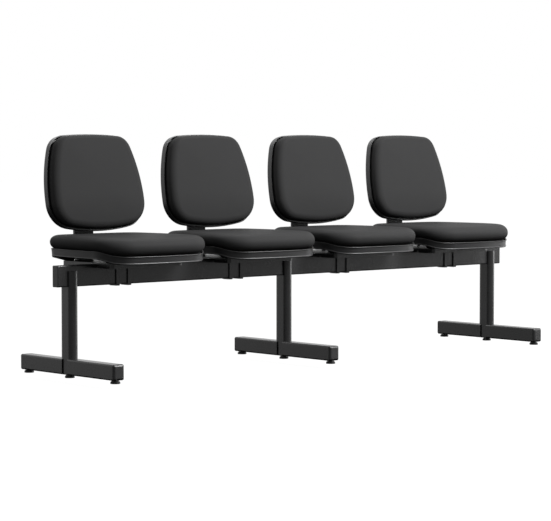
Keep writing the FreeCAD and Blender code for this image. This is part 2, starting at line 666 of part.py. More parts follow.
def seat_board():
    """Return the bent plywood board that lies in the shell under the cushion."""
    bottom = SEAT_SHELL_WALL - SEAT_SHELL_BAND + SOFT_GAP
    inset = SEAT_SHELL_DRAFT + SEAT_SHELL_WALL + SOFT_GAP
    blank = Part.Face(seat_outline(inset, 0, 0)).extrude(Vector(0, 0, CUSHION_CROWN))
    board = blank.common(lip_slab(bottom, bottom + SEAT_BOARD_THICKNESS))
    return board.cut([upright_hole(x, y) for x, y in pillar_places()])


def pillow_profile(draw_in, bulge, run, side, height):
    """Return a cushion's side from its base to its crown, as pairs of an inset and a rise.

    The side swells out of its drawn-in base along a quarter of an ellipse, and rounds over to the
    crown along a quarter of a fuller one.
    """
    profile = []
    for step in range(PILLOW_SIDE_STEPS):
        turn = math.pi / 2 * step / PILLOW_SIDE_STEPS
        profile.append((draw_in - (draw_in + bulge) * math.sin(turn), side * (1 - math.cos(turn))))
    for step in range(PILLOW_TOP_STEPS + 1):
        turn = math.pi / 2 * step / PILLOW_TOP_STEPS
        out = max(math.cos(turn), 0.0) ** PILLOW_FULLNESS
        up = math.sin(turn) ** PILLOW_FULLNESS
        profile.append((run - (run + bulge) * out, side + (height - side) * up))
    return profile


def seat_cushion():
    """Return the seat's upholstered pad: drawn in at the shell, bulging above it, crowned on top."""
    base = LIP_HEIGHT - LIP_DROP - SEAT_SHELL_BAND
    profile = pillow_profile(CUSHION_DRAW_IN, CUSHION_BULGE, CUSHION_CROWN_RUN, CUSHION_SIDE_RISE,
                             CUSHION_HEIGHT)
    sections = [seat_outline(CUSHION_DRAW_IN + SOFT_GAP, 0, base)]
    for inset, rise in profile:
        shift = CUSHION_WATERFALL * max(inset, 0.0) / CUSHION_CROWN_RUN
        sections.append(seat_outline(inset, shift, LIP_HEIGHT + rise))
    pad = Part.makeLoft(sections, True, True)
    bottom = SEAT_SHELL_WALL - SEAT_SHELL_BAND + SEAT_BOARD_THICKNESS + 2 * SOFT_GAP
    return pad.common(lip_slab(bottom, 2 * CUSHION_HEIGHT))


def back_bar():
    """Return the flat bar that runs back under the seat and bends up behind the backrest."""
    half = BAR_THICKNESS / 2
    level = BEAM_TOP - half
    top = BACK_BOTTOM + BAR_RISE_BEHIND_BACK
    centre = Vector(0, BAR_UPRIGHT_AT - BAR_BEND_RADIUS, level + BAR_BEND_RADIUS)

    def bend(radius):
        """Return the start, middle and end of the bend at this radius."""
        slant = radius * math.sqrt(0.5)
        return [centre - UP * radius, centre + Vector(0, slant, -slant), centre + REARWARD * radius]

    lower = bend(BAR_BEND_RADIUS + half)
    upper = bend(BAR_BEND_RADIUS - half)
    start_low = Vector(0, BAR_START, level - half)
    start_high = Vector(0, BAR_START, level + half)
    top_rear = Vector(0, BAR_REAR, top)
    top_front = Vector(0, BAR_FRONT, top)
    edges = [
        Part.makeLine(start_low, lower[0]),
        Part.Arc(*lower).toShape(),
        Part.makeLine(lower[2], top_rear),
        Part.makeLine(top_rear, top_front),
        Part.makeLine(top_front, upper[2]),
        Part.Arc(*reversed(upper)).toShape(),
        Part.makeLine(upper[0], start_high),
        Part.makeLine(start_high, start_low),
    ]
    face = Part.Face(Part.Wire(edges))
    face.translate(RIGHTWARD * (-BAR_WIDTH / 2))
    bar = face.extrude(RIGHTWARD * BAR_WIDTH)
    return bar.cut([upright_hole(0, y) for y in bar_screw_places()] + back_holes())


def back_holes():
    """Return the pins that cut the holes for the screws between the bar and the shell's housing."""
    forward = REARWARD * -1
    return [Part.makeCylinder(SCREW_HOLE_RADIUS, SHORT_SCREW_LENGTH, Vector(0, BAR_REAR, height), forward)
            for height in back_screw_heights()]


def shell_screw_pins(radius, front, rear):
    """Return round pins at the shell's screws, between two depths of the backrest."""
    return [Part.makeCylinder(radius, rear - front, Vector(x, front, rise), REARWARD)
            for x, rise in shell_screw_places()]


def back_board():
    """Return the plywood board that lies in the mouth of the backrest's shell, clear of its wall."""
    board = back_slab(BACK_BOARD_INSET, -BACK_BOARD_THICKNESS, 0)
    return placed_back(board.cut(shell_screw_pins(SCREW_HOLE_RADIUS, -BACK_BOARD_THICKNESS, 0)))


def housing(wall, front):
    """Return the housing's space inside a wall: upright at the bar, and open at a depth of the backrest."""
    half = HOUSING_HALF_WIDTH - wall
    rear = BAR_FRONT - wall
    low = BACK_BOTTOM + HOUSING_BOTTOM
    block = box(-half, half, BACK_REAR_FACE_AT, rear, low + wall, low + HOUSING_HEIGHT - wall)
    block = block.makeFillet(HOUSING_EDGE_RADIUS - wall, edges_in_plane(block, REARWARD, rear))
    return block.cut(before_depth(front))


def before_depth(depth):
    """Return the space in front of a depth of the leaning backrest."""
    return placed_back(box(-BACK_HEIGHT, BACK_HEIGHT, -BACK_HEIGHT, depth, -BACK_HEIGHT, 2 * BACK_HEIGHT))


def back_shell():
    """Return the plastic cover behind the board, with the housing that the bar is screwed to.

    A rib inside the housing takes those screws, and four bosses with deep wells take the screws that
    hold the cover on the board.
    """
    outer = back_slab(0, BACK_SHELL_FRONT, BACK_SHELL_REAR)
    outer = outer.makeFillet(BACK_SHELL_EDGE_RADIUS, edges_in_plane(outer, REARWARD, BACK_SHELL_REAR))
    hollow = back_slab(BACK_SHELL_WALL, BACK_SHELL_FRONT, BACK_SHELL_REAR - BACK_SHELL_WALL)
    hollow = hollow.makeFillet(BACK_SHELL_EDGE_RADIUS - BACK_SHELL_WALL,
                               edges_in_plane(hollow, REARWARD, BACK_SHELL_REAR - BACK_SHELL_WALL))
    bosses = shell_screw_pins(SHELL_SCREW_BOSS_RADIUS, SLIDE_GAP, BACK_SHELL_REAR - BACK_SHELL_WALL / 2)
    wells = shell_screw_pins(SHELL_SCREW_WELL_RADIUS, SHELL_SCREW_SEAT, BACK_SHELL_REAR)
    holes = shell_screw_pins(SCREW_HOLE_RADIUS, 0, BACK_SHELL_REAR)
    shell = placed_back(outer).fuse(housing(0, BACK_SHELL_REAR - BACK_SHELL_WALL / 2))
    shell = shell.cut([placed_back(hollow), housing(BACK_SHELL_WALL, 0)])
    half_wall = BACK_SHELL_WALL / 2
    low = BACK_BOTTOM + HOUSING_BOTTOM
    rib = box(-HOUSING_RIB / 2, HOUSING_RIB / 2, BACK_REAR_FACE_AT, BAR_FRONT - half_wall,
              low + half_wall, low + HOUSING_HEIGHT - half_wall)
    rib = rib.cut(before_depth(SLIDE_GAP))
    shell = shell.fuse([rib] + [placed_back(boss) for boss in bosses]).removeSplitter()
    return shell.cut([placed_back(pin) for pin in wells + holes] + back_holes())


def back_cushion():
    """Return the backrest's upholstered pad, drawn in at the shell and crowned at the front."""
    rear = -BACK_BOARD_THICKNESS - SOFT_GAP
    profile = pillow_profile(BACK_DRAW_IN, BACK_BULGE, BACK_CROWN_RUN, BACK_SIDE_RISE, BACK_CUSHION_THICKNESS)
    sections = [back_outline(inset, rear - rise) for inset, rise in profile]
    return placed_back(Part.makeLoft(sections, True, True))


def build_legs():
    """Write the pieces of the three legs."""
    column = leg_column()
    bars = {"front": foot_bar(-FOOT_REACH_FRONT), "rear": foot_bar(FOOT_REACH_REAR)}
    caps = Part.makeCompound([foot_end_cap(-FOOT_REACH_FRONT), foot_end_cap(FOOT_REACH_REAR)])
    glides = {"front": GLIDE_INSET - FOOT_REACH_FRONT, "middle": 0.0, "rear": FOOT_REACH_REAR - GLIDE_INSET}
    for leg, x in LEGS.items():
        save(moved(column, x), "leg_column_" + leg)
        for end, bar in bars.items():
            save(moved(bar, x), "foot_bar_" + end + "_" + leg)
        save(moved(caps, x), "foot_end_caps_" + leg)
        for place, y in glides.items():
            save(moved(glide(), x, y), "glide_" + place + "_" + leg)
    save(leg_screws(), "leg_screws")


def build_beam():
    """Write the beam and its two end caps."""
    cap = beam_end_cap()
    save(beam_tube(), "beam_tube")
    save(moved(cap, BEAM_LEFT), "beam_end_cap_left")
    save(moved(cap.mirror(Vector(0, 0, 0), RIGHTWARD), BEAM_RIGHT), "beam_end_cap_right")


def build_seats():
    """Write the pieces of every seat."""
    pieces = {
        "seat_shell": seat_shell(),
        "seat_board": seat_board(),
        "seat_cushion": seat_cushion(),
        "back_bar": back_bar(),
        "back_board": back_board(),
        "back_shell": back_shell(),
        "back_cushion": back_cushion(),
    }
    for number, centre in enumerate(seat_centres(), start=1):
        plate = support_plate(STRAP_PAIR_OFFSETS[number - 1])
        save(moved(plate, centre), "support_plate_" + str(number))
        for name, piece in pieces.items():
            save(moved(piece, centre), name + "_" + str(number))
    save(clamp_straps(), "clamp_straps")
    save(short_screws(), "short_screws")
    save(seat_screws(), "seat_screws")


os.makedirs("parts", exist_ok=True)
build_beam()
build_legs()
build_seats()
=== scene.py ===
"""Looks for a four-seat beam seating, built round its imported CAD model.

The steel, plastic and plywood pieces keep their CAD shape and get a finish of their own. The eight
upholstered pads and the rolled rims of the seat shells are made here as numpy surfaces. All sizes
are in metres, X runs along the beam, the seats face -Y and Z is up.
"""

import json
import logging
import math
from dataclasses import dataclass
from enum import Enum

import bpy
import numpy as np
from mathutils import Matrix, Vector

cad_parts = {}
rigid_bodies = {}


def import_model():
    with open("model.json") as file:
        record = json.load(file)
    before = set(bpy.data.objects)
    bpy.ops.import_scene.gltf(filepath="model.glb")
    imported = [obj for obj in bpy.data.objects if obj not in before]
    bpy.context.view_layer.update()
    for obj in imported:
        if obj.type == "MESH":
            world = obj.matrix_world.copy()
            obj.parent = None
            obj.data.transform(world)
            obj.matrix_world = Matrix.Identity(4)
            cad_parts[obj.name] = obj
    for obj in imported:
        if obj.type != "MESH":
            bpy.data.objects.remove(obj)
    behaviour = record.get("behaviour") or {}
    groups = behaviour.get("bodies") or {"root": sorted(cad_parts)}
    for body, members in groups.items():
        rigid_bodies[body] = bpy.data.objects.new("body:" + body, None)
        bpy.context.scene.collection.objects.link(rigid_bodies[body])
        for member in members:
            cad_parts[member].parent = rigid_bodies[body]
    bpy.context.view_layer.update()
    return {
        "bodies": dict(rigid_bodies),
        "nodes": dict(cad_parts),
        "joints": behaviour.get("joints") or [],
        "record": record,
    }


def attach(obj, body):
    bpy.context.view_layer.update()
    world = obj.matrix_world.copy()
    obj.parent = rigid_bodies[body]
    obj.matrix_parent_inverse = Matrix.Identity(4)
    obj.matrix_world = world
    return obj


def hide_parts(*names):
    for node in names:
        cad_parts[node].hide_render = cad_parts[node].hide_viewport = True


LOG = logging.getLogger("beam_seating")
SEAT_BODY = "seating"


class Slot(Enum):
    """The material slots of the record."""

    FRAME = "frame_black"
    CAP = "cap_black"
    GLIDE = "glide_black"
    BOARD = "board_wood"
    VINYL = "vinyl_black"
    SHELL = "shell_black"
    SCREW = "screw_steel"


class Signal:
    """A shader value that can be used in sums."""

    def __init__(self, tree: bpy.types.NodeTree, socket: bpy.types.NodeSocket) -> None:
        """Keep the tree and the output socket that carries the value."""
        self.tree = tree
        self.socket = socket

    def _math(self, operation: str, first: object, second: object) -> "Signal":
        """Add one Math node.

        Args:
            operation: The node's operation.
            first: A signal or a number.
            second: A signal or a number.

        Returns:
            The node's result.
        """
        node = self.tree.nodes.new("ShaderNodeMath")
        node.operation = operation
        for index, value in enumerate((first, second)):
            if isinstance(value, Signal):
                self.tree.links.new(value.socket, node.inputs[index])
            else:
                node.inputs[index].default_value = float(value)
        return Signal(self.tree, node.outputs[0])

    def __add__(self, other: object) -> "Signal":
        """Return self + other."""
        return self._math("ADD", self, other)

    def __radd__(self, other: object) -> "Signal":
        """Return other + self."""
        return self._math("ADD", other, self)

    def __sub__(self, other: object) -> "Signal":
        """Return self - other."""
        return self._math("SUBTRACT", self, other)

    def __rsub__(self, other: object) -> "Signal":
        """Return other - self."""
        return self._math("SUBTRACT", other, self)

    def __mul__(self, other: object) -> "Signal":
        """Return self * other."""
        return self._math("MULTIPLY", self, other)

    def __rmul__(self, other: object) -> "Signal":
        """Return other * self."""
        return self._math("MULTIPLY", other, self)

    def __truediv__(self, other: object) -> "Signal":
        """Return self / other."""
        return self._math("DIVIDE", self, other)

    def __rtruediv__(self, other: object) -> "Signal":
        """Return other / self."""
        return self._math("DIVIDE", other, self)

    def at_least(self, floor: float) -> "Signal":
        """Return the larger of self and a number."""
        return self._math("MAXIMUM", self, floor)

    def at_most(self, roof: float) -> "Signal":
        """Return the smaller of self and a number."""
        return self._math("MINIMUM", self, roof)

    def swing(self, reach: float) -> "Signal":
        """Turn a value from 0 to 1 into a swing about zero.

        Args:
            reach: The full width of the swing.

        Returns:
            (self - 0.5) * reach.
        """
        return (self - 0.5) * reach

    def mixed(self, other: "Signal", share: float) -> "Signal":
        """Mix another value in.

        Args:
            other: The other value.
            share: The other value's share, from 0 to 1.

        Returns:
            self * (1 - share) + other * share.
        """
        return self * (1.0 - share) + other * share

    def ramp(self, start: float, run: float) -> "Signal":
        """Turn a value into a ramp.

        Args:
            start: Where the ramp leaves 0.
            run: How much further it reaches 1.

        Returns:
            (self - start) / run, held between 0 and 1.
        """
        return ((self - start) / run).at_least(0.0).at_most(1.0)


class Recipe:
    """A node tree under construction.

    A mix node has sockets of the same name for each kind of value, so those for colours have numbers.
    """

    mix_share = 0
    mix_low = 6
    mix_high = 7
    mix_result = 2

    def __init__(self, tree: bpy.types.NodeTree) -> None:
        """Start from an empty tree."""
        self.tree = tree
        self.tree.nodes.clear()

    def node(self, kind: str, settings: dict[str, object], inputs: dict[str, object]) -> bpy.types.Node:
        """Add a node.

        Args:
            kind: The node's type.
            settings: Attributes, which are set first.
            inputs: Values or signals by the name of the input socket.

        Returns:
            The new node.
        """
        made = self.tree.nodes.new(kind)
        for name, value in settings.items():
            setattr(made, name, value)
        for name, value in inputs.items():
            if isinstance(value, Signal):
                self.tree.links.new(value.socket, made.inputs[name])
            else:
                made.inputs[name].default_value = value
        return made

    def signal(self, node: bpy.types.Node, output: str) -> Signal:
        """Pick one output of a node.

        Args:
            node: The node.
            output: The name of its output socket.

        Returns:
            The output as a signal.
        """
        return Signal(self.tree, node.outputs[output])

    def place(self) -> Signal:
        """Return the surface's place in its own coordinates, in metres."""
        return self.signal(self.node("ShaderNodeTexCoord", {}, {}), "Object")

    def noise(self, where: Signal, scale: float, detail: float = 2.0, roughness: float = 0.5) -> Signal:
        """Add a noise over a place.

        Args:
            where: The place.
            scale: Bumps per metre.
            detail: How many finer layers lie over the first.
            roughness: How strong the finer layers are.

        Returns:
            The noise, from 0 to 1.
        """
        made = self.node("ShaderNodeTexNoise", {"noise_dimensions": "3D"},
                         {"Vector": where, "Scale": scale, "Detail": detail, "Roughness": roughness})
        return self.signal(made, "Fac")

    def cells(self, where: Signal, scale: float, feature: str = "F1") -> Signal:
        """Add a pattern of cells over a place.

        Args:
            where: The place.
            scale: Cells per metre.
            feature: How the distance is measured.

        Returns:
            The distance from the cell's middle.
        """
        made = self.node("ShaderNodeTexVoronoi", {"feature": feature}, {"Vector": where, "Scale": scale})
        return self.signal(made, "Distance")

    def stretched(self, where: Signal, stretch: tuple[float, float, float]) -> Signal:
        """Scale a place along each axis.

        Args:
            where: The place.
            stretch: The factors along X, Y and Z.

        Returns:
            The scaled place.
        """
        made = self.node("ShaderNodeMapping", {}, {"Vector": where, "Scale": stretch})
        return self.signal(made, "Vector")

    def blend(self, amount: Signal, low: tuple[float, ...], high: tuple[float, ...]) -> Signal:
        """Mix two colours.

        Args:
            amount: The share of the second colour, from 0 to 1.
            low: The colour at 0.
            high: The colour at 1.

        Returns:
            The mixed colour.
        """
        made = self.node("ShaderNodeMix", {"data_type": "RGBA"}, {})
        self.tree.links.new(amount.socket, made.inputs[self.mix_share])
        made.inputs[self.mix_low].default_value = (*low, 1.0)
        made.inputs[self.mix_high].default_value = (*high, 1.0)
        return Signal(self.tree, made.outputs[self.mix_result])

    def bump(self, height: Signal, depth: float) -> Signal:
        """Disturb the normal by a height.

        Args:
            height: The height.
            depth: How many metres a height of 1 stands for.

        Returns:
            The disturbed normal.
        """
        made = self.node("ShaderNodeBump", {}, {"Height": height, "Distance": depth, "Strength": 1.0})
        return self.signal(made, "Normal")

    def surface(self, inputs: dict[str, object]) -> None:
        """Finish the tree with a principled shader.

        Args:
            inputs: Values or signals by the name of the shader's input socket.
        """
        shader = self.node("ShaderNodeBsdfPrincipled", {}, inputs)
        output = self.node("ShaderNodeOutputMaterial", {}, {})
        self.tree.links.new(shader.outputs["BSDF"], output.inputs["Surface"])


def new_material(name: str) -> tuple[bpy.types.Material, Recipe]:
    """Start a node material.

    Args:
        name: The material's name.

    Returns:
        The empty material and its recipe.
    """
    material = bpy.data.materials.new(name)
    material.use_nodes = True
    return material, Recipe(material.node_tree)


@dataclass(frozen=True)
class PowderCoat:
    """A semi-gloss black powder coat with a fine orange-peel skin."""

    name: str = "powder_coat_black"
    dark: tuple[float, float, float] = (0.011, 0.011, 0.0112)
    light: tuple[float, float, float] = (0.017, 0.017, 0.0175)
    gloss_roughness: float = 0.26
    peel_scale: float = 620.0
    peel_depth: float = 0.00006
    cloud_scale: float = 9.0
    cloud_roughness: float = 0.10
    speck_scale: float = 2400.0
    speck_roughness: float = 0.06

    def make(self) -> bpy.types.Material:
        """Return the material."""
        material, recipe = new_material(self.name)
        where = recipe.place()
        peel = recipe.noise(where, self.peel_scale, detail=1.5, roughness=0.45)
        cloud = recipe.noise(where, self.cloud_scale, detail=3.0)
        specks = recipe.noise(where, self.speck_scale, detail=1.0)
        recipe.surface({
            "Base Color": recipe.blend(cloud, self.dark, self.light),
            "Roughness": (self.gloss_roughness + cloud.swing(self.cloud_roughness)
                          + specks.swing(self.speck_roughness)),
            "Normal": recipe.bump(peel, self.peel_depth),
            "Specular IOR Level": 0.5,
        })
        return material


@dataclass(frozen=True)
class MouldedPlastic:
    """A black injection-moulded plastic with a spark-eroded grain."""

    name: str
    dark: tuple[float, float, float]
    light: tuple[float, float, float]
    matt_roughness: float
    grain_scale: float = 1500.0
    grain_depth: float = 0.00005
    cloud_scale: float = 14.0
    cloud_roughness: float = 0.10
    scuff_scale: float = 60.0
    scuff_stretch: tuple[float, float, float] = (1.0, 1.0, 5.0)
    scuff_share: float = 0.3
    scuff_roughness: float = 0.12

    def make(self) -> bpy.types.Material:
        """Return the material."""
        material, recipe = new_material(self.name)
        where = recipe.place()
        grain = recipe.cells(where, self.grain_scale, "SMOOTH_F1")
        cloud = recipe.noise(where, self.cloud_scale, detail=3.0)
        drawn_out = recipe.stretched(where, self.scuff_stretch)
        scuffs = recipe.noise(drawn_out, self.scuff_scale, detail=4.0, roughness=0.65)
        recipe.surface({
            "Base Color": recipe.blend(cloud.mixed(scuffs, self.scuff_share), self.dark, self.light),
            "Roughness": (self.matt_roughness + cloud.swing(self.cloud_roughness)
                          + scuffs.swing(self.scuff_roughness)),
            "Normal": recipe.bump(grain, self.grain_depth),
            "Specular IOR Level": 0.5,
        })
        return material


@dataclass(frozen=True)
class Vinyl:
    """A smooth black vinyl with a shallow leather grain and a soft sheen."""

    name: str = "vinyl_smooth_black"
    dark: tuple[float, float, float] = (0.0205, 0.0205, 0.0207)
    light: tuple[float, float, float] = (0.0245, 0.0245, 0.0248)
    soft_roughness: float = 0.58
    sheen: float = 0.02
    grain_scale: float = 850.0
    grain_depth: float = 0.00007
    pebble_height: float = 0.7
    crease_fineness: float = 0.45
    crease_height: float = 0.5
    cloud_scale: float = 6.0
    handling_scale: float = 38.0
    handling_share: float = 0.4
    worn_roughness: float = 0.08

    def make(self) -> bpy.types.Material:
        """Return the material."""
        material, recipe = new_material(self.name)
        where = recipe.place()
        pebbles = recipe.cells(where, self.grain_scale, "SMOOTH_F1")
        creases = recipe.noise(where, self.grain_scale * self.crease_fineness, detail=3.0, roughness=0.6)
        cloud = recipe.noise(where, self.cloud_scale, detail=3.0)
        handling = recipe.noise(where, self.handling_scale, detail=4.0, roughness=0.6)
        grain = pebbles * self.pebble_height + creases * self.crease_height
        recipe.surface({
            "Base Color": recipe.blend(cloud.mixed(handling, self.handling_share), self.dark, self.light),
            "Roughness": (self.soft_roughness + cloud.swing(self.worn_roughness)
                          + handling.swing(self.worn_roughness)),
            "Normal": recipe.bump(grain, self.grain_depth),
            "Specular IOR Level": self.sheen,
        })
        return material


@dataclass(frozen=True)
class Plywood:
    """Pale plywood, with its plies on the edges and a long grain on the faces."""

    name: str = "plywood_plain"
    pale: tuple[float, float, float] = (0.56, 0.41, 0.25)
    brown: tuple[float, float, float] = (0.36, 0.23, 0.12)
    fibre_stretch: tuple[float, float, float] = (18.0, 260.0, 600.0)
    fibre_depth: float = 0.0002
    fibre_roughness: float = 0.2
    ply_stretch: tuple[float, float, float] = (3.0, 3.0, 900.0)
    ply_share: float = 0.35
    sanded_roughness: float = 0.62

    def make(self) -> bpy.types.Material:
        """Return the material."""
        material, recipe = new_material(self.name)
        where = recipe.place()
        fibres = recipe.noise(recipe.stretched(where, self.fibre_stretch), 1.0, detail=5.0, roughness=0.6)
        plies = recipe.noise(recipe.stretched(where, self.ply_stretch), 1.0, detail=1.0)
        recipe.surface({
            "Base Color": recipe.blend(fibres.mixed(plies, self.ply_share), self.brown, self.pale),
            "Roughness": self.sanded_roughness + fibres.swing(self.fibre_roughness),
            "Normal": recipe.bump(fibres, self.fibre_depth),
        })
        return material


@dataclass(frozen=True)
class ZincPlate:
    """Bright zinc plate with fine turning marks and small dull stains."""

    name: str = "zinc_plate"
    stained: tuple[float, float, float] = (0.30, 0.30, 0.31)
    clean: tuple[float, float, float] = (0.56, 0.56, 0.57)
    turned_roughness: float = 0.30
    mark_scale: float = 420.0
    mark_stretch: tuple[float, float, float] = (1.0, 1.0, 9.0)
    mark_depth: float = 0.00003
    mark_roughness: float = 0.12
    stain_scale: float = 130.0
    stain_roughness: float = 0.15

    def make(self) -> bpy.types.Material:
        """Return the material."""
        material, recipe = new_material(self.name)
        where = recipe.place()
        marks = recipe.noise(recipe.stretched(where, self.mark_stretch), self.mark_scale)
        stains = recipe.noise(where, self.stain_scale, detail=3.0)
        recipe.surface({
            "Base Color": recipe.blend(stains, self.stained, self.clean),
            "Metallic": 1.0,
            "Roughness": (self.turned_roughness + marks * self.mark_roughness
                          + stains.swing(self.stain_roughness)),
            "Normal": recipe.bump(marks, self.mark_depth),
        })
        return material


@dataclass(frozen=True)
class PaleFloor:
    """A floor that glows nearly white, with a trace of unevenness."""

    name: str = "floor_pale"
    dark: tuple[float, float, float] = (0.04, 0.04, 0.04)
    light: tuple[float, float, float] = (0.05, 0.05, 0.05)
    glow: float = 0.97
    cloud_scale: float = 0.8
    matt_roughness: float = 0.85
    cloud_roughness: float = 0.1

    def make(self) -> bpy.types.Material:
        """Return the material."""
        material, recipe = new_material(self.name)
        where = recipe.place()
        cloud = recipe.noise(where, self.cloud_scale)
        recipe.surface({
            "Base Color": recipe.blend(cloud, self.dark, self.light),
            "Roughness": self.matt_roughness + cloud * self.cloud_roughness,
            "Specular IOR Level": 0.0,
            "Emission Color": (1.0, 1.0, 1.0, 1.0),
            "Emission Strength": self.glow,
        })
        return material


@dataclass(frozen=True)
class Outline:
    """A closed outline of eight arcs that meet in tangents, as the solids under it have.

    The arcs' normals turn steadily, so a point is the centre of its arc plus its radius along the
    normal, and a parallel outline is the same with a shorter radius.
    """

    front: float
    rear: float
    half_width: float
    widest_at: float
    front_bow: float
    side_bow: float
    rear_bow: float
    front_corner: float
    rear_corner: float
    turn_steps: int = 4001

    def _corner(self, bow_y: float, bow: float, corner: float, side: int) -> np.ndarray:
        """Return the centre of a corner arc that touches a bow and the side.

        Args:
            bow_y: Y of the bow's centre.
            bow: Radius of the bow.
            corner: Radius of the corner.
            side: -1 for the front corner, 1 for the rear one.

        Returns:
            X and Y of the centre: where two circles about the bow's and the side's centres cross.
        """
        first = np.array([0.0, bow_y])
        second = np.array([self.half_width - self.side_bow, self.widest_at])
        first_reach = bow - corner
        second_reach = self.side_bow - corner
        apart = second - first
        length = np.hypot(*apart)
        along = (first_reach ** 2 - second_reach ** 2 + length ** 2) / (2 * length)
        across = math.sqrt(first_reach ** 2 - along ** 2)
        unit = apart / length
        turned = np.array([-unit[1], unit[0]])
        crossings = [first + unit * along + turned * across, first + unit * along - turned * across]
        return max(crossings, key=lambda point: point[0] + side * point[1])

    def trace(self, count: int) -> tuple[np.ndarray, np.ndarray]:
        """Sample the outline evenly.

        Args:
            count: Even number of points.

        Returns:
            Points and outward normals, both of shape (count, 2), anticlockwise from the front.
        """
        front_centre = np.array([0.0, self.front + self.front_bow])
        side_centre = np.array([self.half_width - self.side_bow, self.widest_at])
        rear_centre = np.array([0.0, self.rear - self.rear_bow])
        front_corner = self._corner(front_centre[1], self.front_bow, self.front_corner, -1)
        rear_corner = self._corner(rear_centre[1], self.rear_bow, self.rear_corner, 1)
        centres = np.array([front_centre, front_corner, side_centre, rear_corner, rear_centre])
        radii = np.array([self.front_bow, self.front_corner, self.side_bow, self.rear_corner, self.rear_bow])
        joins = np.array([front_corner - front_centre, front_corner - side_centre,
                          rear_corner - side_centre, rear_corner - rear_centre])
        turns = np.arctan2(joins[:, 1], joins[:, 0])
        fine = np.linspace(-math.pi / 2, math.pi / 2, self.turn_steps)
        steps = radii[np.searchsorted(turns, fine[:-1])] * np.diff(fine)
        run = np.concatenate([[0.0], np.cumsum(steps)])
        wanted = np.linspace(0.0, 2 * run[-1], count, endpoint=False)
        left = wanted > run[-1]
        angle = np.interp(np.where(left, 2 * run[-1] - wanted, wanted), run, fine)
        normals = np.stack([np.cos(angle), np.sin(angle)], axis=1)
        which = np.searchsorted(turns, angle)
        points = centres[which] + radii[which, None] * normals
        mirror = np.where(left, -1.0, 1.0)
        points[:, 0] *= mirror
        normals[:, 0] *= mirror
        return points, normals


def closed_mesh(name: str, rings: np.ndarray, material: bpy.types.Material) -> bpy.types.Object:
    """Make a smooth closed mesh of rings, with a pole at each end.

    Args:
        name: The object's name.
        rings: Array of shape (rings, around, 3). A pole in its middle closes the first and the last.
        material: The finish.

    Returns:
        The object, linked to the scene.
    """
    count, around = rings.shape[:2]
    poles = np.stack([rings[0].mean(axis=0), rings[-1].mean(axis=0)])
    points = np.concatenate([rings.reshape(-1, 3), poles])
    step = np.arange(around)
    after = (step + 1) % around
    row = np.arange(count - 1)[:, None] * around
    quads = np.stack([row + step, row + after, row + around + after, row + around + step], axis=-1)
    low = np.stack([after, step, np.full(around, count * around)], axis=-1)
    last = (count - 1) * around
    high = np.stack([last + step, last + after, np.full(around, count * around + 1)], axis=-1)
    return mesh_object(name, points, [quads.reshape(-1, 4), low, high], material)


def mesh_object(name: str, points: np.ndarray, faces: list[np.ndarray],
                material: bpy.types.Material) -> bpy.types.Object:
    """Put points and faces into a smooth mesh.

    Args:
        name: The object's name.
        points: Array of shape (points, 3).
        faces: Arrays of corner numbers, one array for each number of corners.
        material: The finish.

    Returns:
        The object, linked to the scene.
    """
    corners = np.concatenate([part.ravel() for part in faces]).astype(np.int32)
    sizes = np.concatenate([np.full(len(part), part.shape[1]) for part in faces])
    starts = np.concatenate([[0], np.cumsum(sizes)[:-1]]).astype(np.int32)
    mesh = bpy.data.meshes.new(name)
    mesh.vertices.add(len(points))
    mesh.vertices.foreach_set("co", points.astype(np.float32).ravel())
    mesh.loops.add(len(corners))
    mesh.loops.foreach_set("vertex_index", corners)
    mesh.polygons.add(len(starts))
    mesh.polygons.foreach_set("loop_start", starts)
    mesh.polygons.foreach_set("use_smooth", np.ones(len(starts), dtype=bool))
    mesh.update(calc_edges=True)
    mesh.validate()
    mesh.materials.append(material)
    made = bpy.data.objects.new(name, mesh)
    bpy.context.scene.collection.objects.link(made)
    return made


@dataclass(frozen=True)
class Shoulder:
    """How far a pad's shoulder runs in from its outline, at its front, sides and rear."""

    front: float
    side: float
    rear: float

    def along(self, normals: np.ndarray) -> np.ndarray:
        """Blend the three runs round the outline.

        The run is the three runs weighted by the squares of the normal's parts, which add up to one.

        Args:
            normals: Outward normals of shape (around, 2).

        Returns:
            The run at each point, of shape (around,).
        """
        forward = np.clip(-normals[:, 1], 0.0, None) ** 2
        rearward = np.clip(normals[:, 1], 0.0, None) ** 2
        return self.front * forward + self.rear * rearward + self.side * normals[:, 0] ** 2


